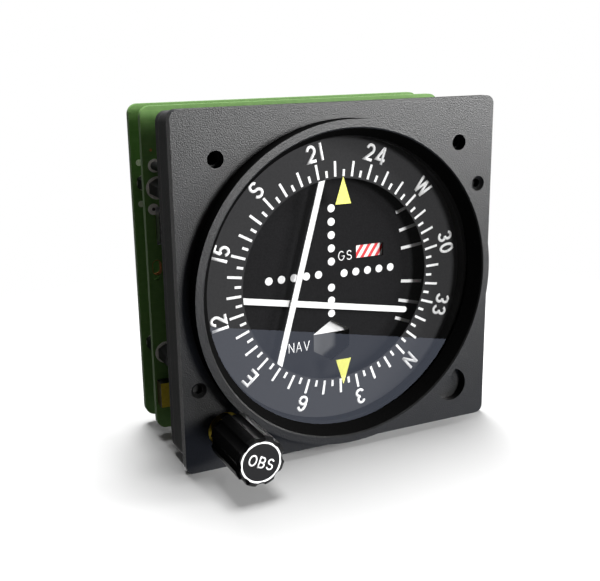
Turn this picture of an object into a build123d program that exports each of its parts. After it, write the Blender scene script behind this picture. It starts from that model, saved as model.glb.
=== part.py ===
from build123d import *
from math import acos, cos, pi, radians, sin, sqrt, tan
import os

os.makedirs("parts", exist_ok=True)

# Origin: the axis of the compass card, on the front face of the mounting plate.
# X runs to the right, Y runs back into the instrument, Z runs up, all in millimetres.

# mounting plate of a three inch instrument
plate_side = 82.5
plate_half = plate_side / 2
plate_middle_z = 1.05
plate_depth = 2.4
plate_corner = 2.0
bore_margin = 3.25
plate_bore = plate_half - bore_margin
mount_hole_clear = 6.449
mount_hole_reach = (plate_bore + mount_hole_clear) / sqrt(2)
mount_hole_radius = 1.92
tapped_hole_radius = 1.45
corner_bore_radius = 4.3
blank_recess_depth = 2.0
flush_hole_inset = 3.85
flush_hole_x = plate_half - flush_hole_inset
flush_hole_up = 21.0
flush_hole_down = -20.2
flush_hole_radius = 1.85
flush_thread_radius = 1.15
flush_cone_depth = 0.8

# bezel ring with its window
bezel_proud = 4.0
bezel_flange = 0.76
bezel_outer = plate_bore + bezel_flange
bezel_rim = 2.02
bezel_mouth = bezel_outer - bezel_rim
funnel_step = 1.9
bezel_throat = bezel_mouth - funnel_step
bezel_bevel = 0.3
window_front = -0.45
window_back = 0.75
window_seat = 1.06
window_radius = bezel_throat + window_seat
loose_gap = 0.3
sleeve_wall = 1.4
sleeve_inner = window_radius - sleeve_wall
journal_wall = 1.0
sleeve_journal = sleeve_inner + journal_wall
sleeve_back = 3.3
mark_depth = 0.15
mark_base = 19.0
mark_height = 6.4
mark_tip = mark_base + mark_height
mark_half_width = 2.05

# compass card, turned by the course knob through its own toothed rim
card_front = 3.5
card_sheet = 0.3
card_outer = sleeve_inner + 0.8
card_band = 10.67
card_inner = card_outer - card_band
card_teeth = 94
pinion_teeth = 16
gear_distance = plate_bore * 1.15184
knob_reach = gear_distance / sqrt(2)
knob_x = -knob_reach
knob_z = -knob_reach
corner_bore_x = knob_reach + 0.35
corner_bore_z = 0.05 - knob_reach
gear_module = 2 * gear_distance / (card_teeth + pinion_teeth)
card_gear_tip = gear_module * (card_teeth + 2) / 2
tooth_play = 0.12
card_gear_front = card_front + card_sheet
card_gear_depth = 0.5
card_gear_back = card_gear_front + card_gear_depth
running_gap = 0.05
lip_front = 2.75
lip_depth = card_gear_front - lip_front

# black housing, three frames stacked behind the plate
body_inset = 1.0
body_side = plate_side - 2 * body_inset
body_half = body_side / 2
body_corner = 2.5
card_frame_back = 6.9
ledge_front = 4.5
card_pocket = card_gear_tip + 0.5
pivot_reach = plate_bore - 0.8
needle_opening = pivot_reach + 0.1
needle_pocket = 3.0
pinion_pocket = 7.9
movement_frame_back = 11.2
cover_back = 13.4
dial_radius = sleeve_inner - 0.2
dial_depth = 0.6
dial_ledge = 1.3
chamber_radius = dial_radius - dial_ledge

# needles and their small movements
needle_width = 1.5
needle_sheet = 0.3
course_needle_front = 4.6
course_needle_past_centre = 23.8
course_needle_length = pivot_reach + course_needle_past_centre
course_needle_lean = 15.1
glide_needle_front = 5.2
glide_needle_past_centre = 21.5
glide_needle_length = pivot_reach + glide_needle_past_centre
glide_needle_lean = 10.3
needle_hub_radius = 1.3
pivot_shaft_radius = 0.6
movement_radius = 2.0
movement_front = 6.3
needle_point = 0.5
pivot_end_gap = 0.2
pivot_hub_back = movement_front - pivot_end_gap
pivot_shaft_back = movement_frame_back - 1.2

# windows in the inner dial and the vanes behind them
flag_window_x = 10.7
flag_window_z = 5.6
flag_window_width = 7.7
flag_window_height = 3.3
arrow_window_rise = 17.0
arrow_window_z = arrow_window_rise - chamber_radius
arrow_window_half = 4.95
arrow_window_tip = 5.3
arrow_window_shoulder = 2.2
arrow_edge_z = arrow_window_z + 1.5
vane_sheet = 0.2
vane_overlap = 0.3
vane_arm_width = 1.2
signal_flag_height = 3.4
flag_front = 7.9
vane_front = 8.6
glide_flag_pivot_x = chamber_radius - 10.0
signal_flag_pivot_x = -chamber_radius / 2
signal_flag_pivot_z = arrow_window_z - 0.1
signal_flag_swing = 40.0
arrow_vane_pivot_x = chamber_radius - 15.5
arrow_vane_swing = 24.0
vane_hub_radius = 1.1
vane_shaft_radius = 0.5
vane_movement_radius = 2.6
vane_movement_front = 9.4

# course knob and its shaft
knob_radius = 5.8
knob_front = -19.6
knob_skirt_back = -4.4
knob_neck_back = -0.8
knob_neck_radius = 3.6
knob_flutes = 8
knob_flute_radius = 1.7
knob_flute_offset = 1.15
knob_bevel = 0.7
shaft_radius = 3.0
shaft_front = -15.0
pinion_hub_radius = 4.9
pinion_hub_front = 2.7
pinion_front = 3.7
pinion_back = 4.4
bushing_radius = 4.5
bushing_flange = 5.6
bushing_flange_front = 6.2
encoder_side = 13.0
encoder_depth = 4.4
set_screw_y = -6.4
set_screw_length = 2.2
set_screw_radius = 1.2

# two circuit boards on hexagonal standoffs
board_overhang = 0.4
board_half_width = body_half + board_overhang
board_top = plate_middle_z + board_half_width
board_drop = 1.3
board_bottom = plate_middle_z + board_drop - body_half
board_sheet = 1.6
board_corner = 2.5
front_board_front = 23.6
rear_board_front = 33.3
front_board_back = front_board_front + board_sheet
rear_board_back = rear_board_front + board_sheet
standoff_inset = 2.85
standoff_x = body_half - standoff_inset
standoff_top = body_half * 0.564
standoff_bottom = body_half * -0.4497
standoff_flats = 4.0
screw_radius = 1.2
screw_bore = 1.5
spacer_pin_inset = 2.85
spacer_pin_x = board_half_width - spacer_pin_inset
spacer_pin_rise = 5.25
spacer_pin_z = standoff_top + spacer_pin_rise
spacer_pin_radius = 1.0
slot_inset = 2.15
slot_x = slot_inset - board_half_width
slot_z = 2.8
slot_width = 2.2
slot_length = 5.0

# parts soldered to the boards
can_inset = 7.45
can_x = can_inset - board_half_width
can_width = 10.0
can_height = 9.0
can_drop = 9.05
can_z = standoff_top - can_drop
can_corner = 1.6
can_depth = 2.6
relay_inset = 4.25
relay_x = relay_inset - board_half_width
relay_rise = 9.85
relay_z = board_bottom + relay_rise
relay_width = 7.6
relay_height = 6.3
relay_depth = 3.2
chip_pitch_x = 26.0
chip_pitch_z = 26.0
chip_depth = 1.6
front_chip_side = 12.0
rear_chip_side = 14.0
rear_chip_z = 14.0
header_joint = 30.4
header_drop = 7.7
header_z = board_top - header_drop
header_length = 30.5
header_width = 5.0

# fifteen way plug for the harness
plug_rise = 21.9
plug_z = board_bottom + plug_rise
plug_height = 12.5
plug_screw_spacing = 33.3
plug_end = 2.9
plug_length = plug_screw_spacing + 2 * plug_end
plug_screw_hole = 1.6
plug_flange_back = rear_board_back + 4.0
plug_core_back = plug_flange_back + 4.6
plug_back = plug_flange_back + 6.0
plug_shell_clear = 4.15
plug_shell_half = plug_screw_spacing / 2 - plug_shell_clear
plug_shell_slant = 1.3
plug_shell_half_low = plug_shell_half - plug_shell_slant
plug_shell_half_height = 4.2
plug_shell_corner = 1.6
plug_shell_wall = 0.5
plug_core_gap = 1.0
jack_post_back = plug_flange_back + 4.8
jack_post_flats = 4.8
jack_bore_radius = 1.25


def at(y, x=0, z=0, lean=0):
    """A sketch plane y behind the plate's front face, facing the viewer, centred on x and z."""
    across = (cos(radians(lean)), 0, sin(radians(lean)))
    return Plane(origin=(x, y, z), x_dir=across, z_dir=(0, -1, 0))


def involute(angle):
    return tan(angle) - angle


def tooth_points(teeth, turn):
    """Outline of a toothed wheel with twenty degree flanks, one tooth centred on turn degrees."""
    pitch = gear_module * teeth / 2
    base = pitch * cos(radians(20))
    tip = pitch + gear_module
    root = pitch - 1.25 * gear_module
    half = pi / (2 * teeth) - tooth_play / (2 * pitch)
    start = max(base, root)
    points = []
    for tooth in range(teeth):
        middle = radians(turn) + 2 * pi * tooth / teeth
        flank = []
        for radius in (start, pitch, tip):
            spread = half + involute(radians(20)) - involute(acos(min(1.0, base / radius)))
            flank.append((radius, spread))
        if start > root:
            flank.insert(0, (root, flank[0][1]))
        for radius, spread in flank:
            points.append((radius * cos(middle - spread), radius * sin(middle - spread)))
        for radius, spread in reversed(flank):
            points.append((radius * cos(middle + spread), radius * sin(middle + spread)))
    return points


standoff_places = [
    (-standoff_x, standoff_top),
    (standoff_x, standoff_top),
    (-standoff_x, standoff_bottom),
    (standoff_x, standoff_bottom),
]

# mounting plate: two clear mounting holes, the knob bore, a blank recess, two flush holes
with BuildPart() as front_plate:
    with BuildSketch(at(plate_depth)):
        with Locations((0, plate_middle_z)):
            RectangleRounded(plate_side, plate_side, plate_corner)
        Circle(plate_bore, mode=Mode.SUBTRACT)
        with Locations((-mount_hole_reach, mount_hole_reach), (mount_hole_reach, mount_hole_reach)):
            Circle(mount_hole_radius, mode=Mode.SUBTRACT)
        with Locations((-corner_bore_x, corner_bore_z)):
            Circle(corner_bore_radius, mode=Mode.SUBTRACT)
        with Locations((flush_hole_x, flush_hole_up), (-flush_hole_x, flush_hole_down)):
            Circle(flush_thread_radius, mode=Mode.SUBTRACT)
    extrude(amount=plate_depth)
    with BuildSketch(at(0)):
        with Locations((corner_bore_x, corner_bore_z)):
            Circle(corner_bore_radius)
        Circle(plate_bore + 0.8, mode=Mode.SUBTRACT)
    extrude(amount=-blank_recess_depth, mode=Mode.SUBTRACT)
    with BuildSketch(at(0)):
        with Locations((flush_hole_x, flush_hole_up), (-flush_hole_x, flush_hole_down)):
            Circle(flush_hole_radius)
    extrude(amount=-flush_cone_depth, taper=40, mode=Mode.SUBTRACT)

# bezel ring: proud rim, black funnel down to the window, spigot in the plate's bore
with BuildPart() as bezel_ring:
    with BuildSketch(Plane.XY):
        with BuildLine():
            Polyline(
                (bezel_mouth + bezel_bevel, -bezel_proud),
                (bezel_outer, -bezel_proud),
                (bezel_outer, 0),
                (plate_bore - loose_gap, 0),
                (plate_bore - loose_gap, plate_depth),
                (window_radius + loose_gap, plate_depth),
                (window_radius + loose_gap, window_front),
                (bezel_throat, window_front),
                (bezel_mouth, bezel_bevel - bezel_proud),
                close=True,
            )
        make_face()
    revolve(axis=Axis.Y)

# flat window pressed against the shoulder inside the bezel ring
with BuildPart() as window_glass:
    with BuildSketch(at(window_back)):
        Circle(window_radius)
    extrude(amount=window_back - window_front)

# black sleeve behind the window; its rear end is the journal that the card turns on
with BuildPart() as card_sleeve:
    with BuildSketch(Plane.XY):
        with BuildLine():
            Polyline(
                (sleeve_inner, window_back),
                (window_radius, window_back),
                (window_radius, plate_depth),
                (sleeve_journal, plate_depth),
                (sleeve_journal, sleeve_back),
                (sleeve_inner, sleeve_back),
                close=True,
            )
        make_face()
    revolve(axis=Axis.Y)

# two pale yellow index triangles on the back of the window
with BuildPart() as index_marks:
    with BuildSketch(at(window_back + mark_depth)):
        with BuildLine():
            Polyline((-mark_half_width, mark_base), (mark_half_width, mark_base), (0, mark_tip), close=True)
        make_face()
        with BuildLine():
            Polyline((-mark_half_width, -mark_base), (mark_half_width, -mark_base), (0, -mark_tip), close=True)
        make_face()
    extrude(amount=mark_depth)

# printed compass card
with BuildPart() as compass_card:
    with BuildSketch(at(card_gear_front)):
        Circle(card_outer)
        Circle(card_inner, mode=Mode.SUBTRACT)
    extrude(amount=card_sheet)

# toothed carrier under the card, with the lip that runs on the sleeve's journal
lip_inner = sleeve_journal + running_gap
with BuildPart() as card_gear:
    with BuildSketch(at(card_gear_back)):
        with BuildLine():
            Polyline(*tooth_points(card_teeth, 225), close=True)
        make_face()
        Circle(card_inner + 0.5, mode=Mode.SUBTRACT)
    extrude(amount=card_gear_depth)
    with BuildSketch(at(card_gear_front)):
        Circle(lip_inner + 0.75)
        Circle(lip_inner, mode=Mode.SUBTRACT)
    extrude(amount=lip_depth)

# first black frame: pocket for the card and pinion, ledge behind the teeth, needle pockets
with BuildPart() as card_frame:
    with BuildSketch(at(card_frame_back)):
        with Locations((0, plate_middle_z)):
            RectangleRounded(body_side, body_side, body_corner)
        Circle(needle_opening, mode=Mode.SUBTRACT)
        with Locations((0, pivot_reach), (-pivot_reach, 0)):
            Circle(needle_pocket, mode=Mode.SUBTRACT)
        with Locations((knob_x, knob_z)):
            Circle(pinion_pocket, mode=Mode.SUBTRACT)
        with Locations(*standoff_places):
            Circle(screw_bore, mode=Mode.SUBTRACT)
        with Locations((-mount_hole_reach, mount_hole_reach), (mount_hole_reach, mount_hole_reach)):
            Circle(tapped_hole_radius, mode=Mode.SUBTRACT)
    extrude(amount=card_frame_back - plate_depth)
    with BuildSketch(at(ledge_front)):
        Circle(card_pocket)
    extrude(amount=ledge_front - plate_depth, mode=Mode.SUBTRACT)

# second black frame: seat for the inner dial, chamber for the flags, bores for the movements
with BuildPart() as movement_frame:
    with BuildSketch(at(movement_frame_back)):
        with Locations((0, plate_middle_z)):
            RectangleRounded(body_side, body_side, body_corner)
        Circle(chamber_radius, mode=Mode.SUBTRACT)
        with Locations((0, pivot_reach), (-pivot_reach, 0)):
            Circle(movement_radius + loose_gap, mode=Mode.SUBTRACT)
        with Locations((knob_x, knob_z)):
            Circle(bushing_radius + loose_gap, mode=Mode.SUBTRACT)
        with Locations((-mount_hole_reach, mount_hole_reach), (mount_hole_reach, mount_hole_reach)):
            Circle(tapped_hole_radius, mode=Mode.SUBTRACT)
        with Locations(*standoff_places):
            Circle(screw_bore, mode=Mode.SUBTRACT)
    extrude(amount=movement_frame_back - card_frame_back)
    with BuildSketch(at(card_frame_back + dial_depth)):
        Circle(dial_radius + loose_gap)
    extrude(amount=dial_depth, mode=Mode.SUBTRACT)

# rear cover of the housing
with BuildPart() as rear_cover:
    with BuildSketch(at(cover_back)):
        with Locations((0, plate_middle_z)):
            RectangleRounded(body_side, body_side, body_corner)
        with Locations((knob_x, knob_z)):
            Circle(shaft_radius + loose_gap, mode=Mode.SUBTRACT)
        with Locations(*standoff_places):
            Circle(screw_bore, mode=Mode.SUBTRACT)
    extrude(amount=cover_back - movement_frame_back)

# fixed inner dial with the flag window and the six sided arrow window
with BuildPart() as inner_dial:
    with BuildSketch(at(card_frame_back + dial_depth)):
        Circle(dial_radius)
        with Locations((flag_window_x, flag_window_z)):
            Rectangle(flag_window_width, flag_window_height, mode=Mode.SUBTRACT)
        with BuildLine():
            Polyline(
                (0, arrow_window_z + arrow_window_tip),
                (arrow_window_half, arrow_window_z + arrow_window_shoulder),
                (arrow_window_half, arrow_window_z - arrow_window_shoulder),
                (0, arrow_window_z - arrow_window_tip),
                (-arrow_window_half, arrow_window_z - arrow_window_shoulder),
                (-arrow_window_half, arrow_window_z + arrow_window_shoulder),
                close=True,
            )
        make_face(mode=Mode.SUBTRACT)
    extrude(amount=dial_depth)

# course deviation needle, hung from a pivot behind the top of the card
with BuildPart() as course_needle:
    with BuildSketch(at(course_needle_front + needle_sheet, z=pivot_reach, lean=-course_needle_lean)):
        with Locations((0, -course_needle_length / 2)):
            Rectangle(needle_width, course_needle_length)
        Circle(needle_hub_radius)
    extrude(amount=needle_sheet)

# hub and pivot shaft of the course needle
with BuildPart() as course_pivot_shaft:
    with BuildSketch(at(pivot_hub_back, z=pivot_reach)):
        Circle(needle_hub_radius)
    extrude(amount=pivot_hub_back - course_needle_front - needle_sheet)
    with BuildSketch(at(pivot_shaft_back, z=pivot_reach)):
        Circle(pivot_shaft_radius)
    extrude(amount=pivot_shaft_back - pivot_hub_back)

# glideslope needle, pivoted behind the left of the card, with a bevelled point
with BuildPart() as glide_needle:
    with BuildSketch(at(glide_needle_front + needle_sheet, x=-pivot_reach, lean=-glide_needle_lean)):
        with BuildLine():
            Polyline(
                (0, -needle_width / 2),
                (glide_needle_length - needle_point, -needle_width / 2),
                (glide_needle_length, -needle_width / 4),
                (glide_needle_length, needle_width / 4),
                (glide_needle_length - needle_point, needle_width / 2),
                (0, needle_width / 2),
                close=True,
            )
        make_face()
        Circle(needle_hub_radius)
    extrude(amount=needle_sheet)

# hub and pivot shaft of the glideslope needle
with BuildPart() as glide_pivot_shaft:
    with BuildSketch(at(pivot_hub_back, x=-pivot_reach)):
        Circle(needle_hub_radius)
    extrude(amount=pivot_hub_back - glide_needle_front - needle_sheet)
    with BuildSketch(at(pivot_shaft_back, x=-pivot_reach)):
        Circle(pivot_shaft_radius)
    extrude(amount=pivot_shaft_back - pivot_hub_back)

# two small needle movements, one bore each in the second frame
with BuildPart() as course_movement:
    with BuildSketch(at(movement_frame_back, z=pivot_reach)):
        Circle(movement_radius)
    extrude(amount=movement_frame_back - movement_front)
    with BuildSketch(at(movement_front, z=pivot_reach)):
        Circle(pivot_shaft_radius + running_gap)
    extrude(amount=movement_front - pivot_shaft_back - pivot_end_gap, mode=Mode.SUBTRACT)

with BuildPart() as glide_movement:
    with BuildSketch(at(movement_frame_back, x=-pivot_reach)):
        Circle(movement_radius)
    extrude(amount=movement_frame_back - movement_front)
    with BuildSketch(at(movement_front, x=-pivot_reach)):
        Circle(pivot_shaft_radius + running_gap)
    extrude(amount=movement_front - pivot_shaft_back - pivot_end_gap, mode=Mode.SUBTRACT)

# striped glideslope flag on its arm, swung behind its window
vane_hub_back = vane_movement_front - 0.2
vane_shaft_back = movement_frame_back - 0.8
with BuildPart() as glide_flag:
    with BuildSketch(at(flag_front + vane_sheet)):
        with Locations((flag_window_x, flag_window_z)):
            Rectangle(flag_window_width + 4 * vane_overlap, flag_window_height + 4 * vane_overlap)
        with Locations(((flag_window_x + glide_flag_pivot_x) / 2, flag_window_z)):
            Rectangle(glide_flag_pivot_x - flag_window_x, vane_arm_width)
        with Locations((glide_flag_pivot_x, flag_window_z)):
            Circle(vane_hub_radius)
    extrude(amount=vane_sheet)
    with BuildSketch(at(vane_hub_back)):
        with Locations((glide_flag_pivot_x, flag_window_z)):
            Circle(vane_hub_radius)
    extrude(amount=vane_hub_back - flag_front - vane_sheet)
    with BuildSketch(at(vane_shaft_back)):
        with Locations((glide_flag_pivot_x, flag_window_z)):
            Circle(vane_shaft_radius)
    extrude(amount=vane_shaft_back - vane_hub_back)

# striped signal flag, parked below the arrow window
with BuildPart() as signal_flag:
    with BuildSketch(
        at(flag_front + vane_sheet, x=signal_flag_pivot_x, z=signal_flag_pivot_z, lean=-signal_flag_swing)
    ):
        with Locations((-signal_flag_pivot_x, 0)):
            Rectangle(2 * arrow_window_half + 2 * vane_overlap, signal_flag_height)
        with Locations((-signal_flag_pivot_x / 2, 0)):
            Rectangle(-signal_flag_pivot_x, vane_arm_width)
        Circle(vane_hub_radius)
    extrude(amount=vane_sheet)
    with BuildSketch(at(vane_hub_back)):
        with Locations((signal_flag_pivot_x, signal_flag_pivot_z)):
            Circle(vane_hub_radius)
    extrude(amount=vane_hub_back - flag_front - vane_sheet)
    with BuildSketch(at(vane_shaft_back)):
        with Locations((signal_flag_pivot_x, signal_flag_pivot_z)):
            Circle(vane_shaft_radius)
    extrude(amount=vane_shaft_back - vane_hub_back)

# white vane of the arrow window: shows the upper arrow here, the lower one when swung down
with BuildPart() as arrow_vane:
    with BuildSketch(at(vane_front + vane_sheet)):
        with BuildLine():
            Polyline(
                (-arrow_window_half - 2 * vane_overlap, arrow_edge_z),
                (arrow_window_half + 2 * vane_overlap, arrow_edge_z),
                (arrow_window_half + 1.0, arrow_edge_z + 2.1),
                (-arrow_window_half + 0.8, arrow_edge_z + 6.5),
                (-arrow_window_half - 1.2, arrow_edge_z + 5.9),
                close=True,
            )
        make_face()
        with BuildLine():
            Polyline(
                (arrow_window_half, arrow_edge_z + 0.2),
                (arrow_vane_pivot_x, arrow_window_z - vane_arm_width / 2),
                (arrow_vane_pivot_x, arrow_window_z + vane_arm_width / 2),
                (arrow_window_half, arrow_edge_z + 1.6),
                close=True,
            )
        make_face()
        with Locations((arrow_vane_pivot_x, arrow_window_z)):
            Circle(vane_hub_radius)
    extrude(amount=vane_sheet)
    with BuildSketch(at(vane_hub_back)):
        with Locations((arrow_vane_pivot_x, arrow_window_z)):
            Circle(vane_hub_radius)
    extrude(amount=vane_hub_back - vane_front - vane_sheet)
    with BuildSketch(at(vane_shaft_back)):
        with Locations((arrow_vane_pivot_x, arrow_window_z)):
            Circle(vane_shaft_radius)
    extrude(amount=vane_shaft_back - vane_hub_back)

# three small vane movements standing on the rear cover
vane_pivots = [
    (glide_flag_pivot_x, flag_window_z),
    (signal_flag_pivot_x, signal_flag_pivot_z),
    (arrow_vane_pivot_x, arrow_window_z),
]
with BuildPart() as vane_movements:
    with BuildSketch(at(movement_frame_back)):
        with Locations(*vane_pivots):
            Circle(vane_movement_radius)
    extrude(amount=movement_frame_back - vane_movement_front)
    with BuildSketch(at(vane_movement_front)):
        with Locations(*vane_pivots):
            Circle(vane_shaft_radius + running_gap)
    extrude(amount=vane_movement_front - vane_shaft_back - 0.2, mode=Mode.SUBTRACT)

# long fluted course knob with a narrow neck that reaches back past the bezel ring
with BuildPart() as course_knob:
    with BuildSketch(at(knob_skirt_back, knob_x, knob_z)):
        Circle(knob_radius)
        with PolarLocations(knob_radius + knob_flute_offset, knob_flutes):
            Circle(knob_flute_radius, mode=Mode.SUBTRACT)
    extrude(amount=knob_skirt_back - knob_front)
    chamfer(faces().sort_by(Axis.Y)[0].outer_wire().edges(), length=knob_bevel)
    with BuildSketch(at(knob_neck_back, knob_x, knob_z)):
        Circle(knob_neck_radius)
    extrude(amount=knob_neck_back - knob_skirt_back)
    with BuildSketch(at(knob_neck_back, knob_x, knob_z)):
        Circle(shaft_radius)
    extrude(amount=knob_neck_back - shaft_front, mode=Mode.SUBTRACT)
    with BuildSketch(Plane.XY.offset(knob_z)):
        with Locations((knob_x, set_screw_y)):
            Circle(set_screw_radius + loose_gap)
    extrude(amount=-knob_radius - 1, mode=Mode.SUBTRACT)

# set screw under the knob
with BuildPart() as knob_set_screw:
    with BuildSketch(Plane.XY.offset(knob_z - shaft_radius)):
        with Locations((knob_x, set_screw_y)):
            Circle(set_screw_radius)
    extrude(amount=-set_screw_length)

# steel shaft from the knob through the pinion and bushing into the encoder
shaft_back = cover_back + encoder_depth - 0.8
with BuildPart() as course_shaft:
    with BuildSketch(at(shaft_back, knob_x, knob_z)):
        Circle(shaft_radius)
    extrude(amount=shaft_back - shaft_front)

# brass pinion with the hub that shows through the knob bore
with BuildPart() as course_pinion:
    with BuildSketch(at(pinion_back, knob_x, knob_z)):
        with BuildLine():
            Polyline(*tooth_points(pinion_teeth, 45 + 180 / pinion_teeth), close=True)
        make_face()
        Circle(shaft_radius, mode=Mode.SUBTRACT)
    extrude(amount=pinion_back - pinion_front)
    with BuildSketch(at(pinion_front, knob_x, knob_z)):
        Circle(pinion_hub_radius)
        Circle(shaft_radius, mode=Mode.SUBTRACT)
    extrude(amount=pinion_front - pinion_hub_front)

# flanged bushing that carries the shaft
with BuildPart() as shaft_bushing:
    with BuildSketch(at(movement_frame_back, knob_x, knob_z)):
        Circle(bushing_radius)
    extrude(amount=movement_frame_back - card_frame_back)
    with BuildSketch(at(card_frame_back, knob_x, knob_z)):
        Circle(bushing_flange)
    extrude(amount=card_frame_back - bushing_flange_front)
    with BuildSketch(at(movement_frame_back, knob_x, knob_z)):
        Circle(shaft_radius + running_gap)
    extrude(amount=movement_frame_back - bushing_flange_front, mode=Mode.SUBTRACT)

# rotary encoder on the back of the housing, turned by the shaft
with BuildPart() as course_encoder:
    with BuildSketch(at(cover_back + encoder_depth, knob_x, knob_z)):
        Rectangle(encoder_side, encoder_side)
    extrude(amount=encoder_depth)
    with BuildSketch(at(shaft_back + pivot_end_gap, knob_x, knob_z)):
        Circle(shaft_radius + running_gap)
    extrude(amount=shaft_back + pivot_end_gap - cover_back, mode=Mode.SUBTRACT)

# circuit boards
board_height = board_top - board_bottom
board_middle_z = (board_top + board_bottom) / 2
with BuildPart() as front_board:
    with BuildSketch(at(front_board_back)):
        with Locations((0, board_middle_z)):
            RectangleRounded(2 * board_half_width, board_height, board_corner)
        with Locations(*standoff_places):
            Circle(screw_bore, mode=Mode.SUBTRACT)
        with Locations((slot_x, slot_z)):
            SlotOverall(slot_length, slot_width, rotation=90, mode=Mode.SUBTRACT)
    extrude(amount=board_sheet)

with BuildPart() as rear_board:
    with BuildSketch(at(rear_board_back)):
        with Locations((0, board_middle_z)):
            RectangleRounded(2 * board_half_width, board_height, board_corner)
        with Locations(*standoff_places):
            Circle(screw_bore, mode=Mode.SUBTRACT)
    extrude(amount=board_sheet)

# black standoffs that clamp the housing, each with a threaded stud through the frames
with BuildPart() as housing_standoffs:
    with BuildSketch(at(front_board_front)):
        with Locations(*standoff_places):
            RegularPolygon(standoff_flats / 2, 6, major_radius=False, rotation=30)
            Circle(screw_bore, mode=Mode.SUBTRACT)
    extrude(amount=front_board_front - cover_back - 2)
    with BuildSketch(at(cover_back + 2)):
        with Locations(*standoff_places):
            RegularPolygon(standoff_flats / 2, 6, major_radius=False, rotation=30)
    extrude(amount=2)
    with BuildSketch(at(cover_back)):
        with Locations(*standoff_places):
            Circle(screw_radius)
    extrude(amount=cover_back - plate_depth)

# black standoffs between the two boards
with BuildPart() as board_standoffs:
    with BuildSketch(at(rear_board_front)):
        with Locations(*standoff_places):
            RegularPolygon(standoff_flats / 2, 6, major_radius=False, rotation=30)
            Circle(screw_bore, mode=Mode.SUBTRACT)
    extrude(amount=rear_board_front - front_board_back - 2)
    with BuildSketch(at(front_board_back + 2)):
        with Locations(*standoff_places):
            RegularPolygon(standoff_flats / 2, 6, major_radius=False, rotation=30)
    extrude(amount=2)
    with BuildSketch(at(front_board_back)):
        with Locations(*standoff_places):
            Circle(screw_radius)
    extrude(amount=5)

# screws that hold the rear board
with BuildPart() as board_screws:
    with BuildSketch(at(rear_board_back + 1.6)):
        with Locations(*standoff_places):
            Circle(2.4)
    extrude(amount=1.6)
    with BuildSketch(at(rear_board_back)):
        with Locations(*standoff_places):
            Circle(screw_radius)
    extrude(amount=5)

# two round black spacer pins between the housing and the front board
with BuildPart() as spacer_pins:
    with BuildSketch(at(front_board_front)):
        with Locations((-spacer_pin_x, spacer_pin_z), (spacer_pin_x, spacer_pin_z)):
            Circle(spacer_pin_radius)
    extrude(amount=front_board_front - cover_back)

# parts on the front face of the front board
with BuildPart() as crystal_can:
    with BuildSketch(at(front_board_front, can_x, can_z)):
        RectangleRounded(can_width, can_height, can_corner)
    extrude(amount=can_depth)

with BuildPart() as yellow_relay:
    with BuildSketch(at(front_board_front, relay_x, relay_z)):
        Rectangle(relay_width, relay_height)
    extrude(amount=relay_depth)

with BuildPart() as front_board_chips:
    with BuildSketch(at(front_board_front)):
        with GridLocations(chip_pitch_x, chip_pitch_z, 2, 2):
            Rectangle(front_chip_side, front_chip_side)
    extrude(amount=chip_depth)

# chips on the rear face of the rear board
with BuildPart() as rear_board_chips:
    with BuildSketch(at(rear_board_back + chip_depth, z=rear_chip_z)):
        with GridLocations(chip_pitch_x, chip_pitch_z, 2, 1):
            Rectangle(rear_chip_side, rear_chip_side)
    extrude(amount=chip_depth)

# header that joins the two boards: socket on the front board, pin strip on the rear board
with BuildPart() as header_socket:
    with BuildSketch(at(header_joint, z=header_z)):
        Rectangle(header_length, header_width)
    extrude(amount=header_joint - front_board_back)

with BuildPart() as header_strip:
    with BuildSketch(at(rear_board_front, z=header_z)):
        Rectangle(header_length, header_width)
    extrude(amount=rear_board_front - header_joint)

# plug for the aircraft wiring on the back of the rear board
with BuildPart() as rear_plug_body:
    with BuildSketch(at(plug_flange_back, z=plug_z)):
        Rectangle(plug_length, plug_height)
        with GridLocations(plug_screw_spacing, 0, 2, 1):
            Circle(plug_screw_hole, mode=Mode.SUBTRACT)
    extrude(amount=plug_flange_back - rear_board_back)
    with BuildSketch(at(plug_core_back, z=plug_z)):
        Rectangle(2 * (plug_shell_half_low - plug_core_gap), 2 * (plug_shell_half_height - plug_core_gap))
    extrude(amount=plug_core_back - plug_flange_back)

with BuildPart() as rear_plug_shell:
    with BuildSketch(at(plug_back, z=plug_z)):
        with BuildLine():
            Polyline(
                (-plug_shell_half, plug_shell_half_height),
                (plug_shell_half, plug_shell_half_height),
                (plug_shell_half_low, -plug_shell_half_height),
                (-plug_shell_half_low, -plug_shell_half_height),
                close=True,
            )
        make_face()
        fillet(vertices(), plug_shell_corner)
        offset(amount=-plug_shell_wall, mode=Mode.SUBTRACT)
    extrude(amount=plug_back - plug_flange_back)

# two hexagonal jack posts with tapped bores for the harness plug's screws
with BuildPart() as rear_plug_screws:
    with BuildSketch(at(jack_post_back, z=plug_z)):
        with GridLocations(plug_screw_spacing, 0, 2, 1):
            RegularPolygon(jack_post_flats / 2, 6, major_radius=False)
            Circle(jack_bore_radius, mode=Mode.SUBTRACT)
    extrude(amount=jack_post_back - plug_flange_back)

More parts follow.
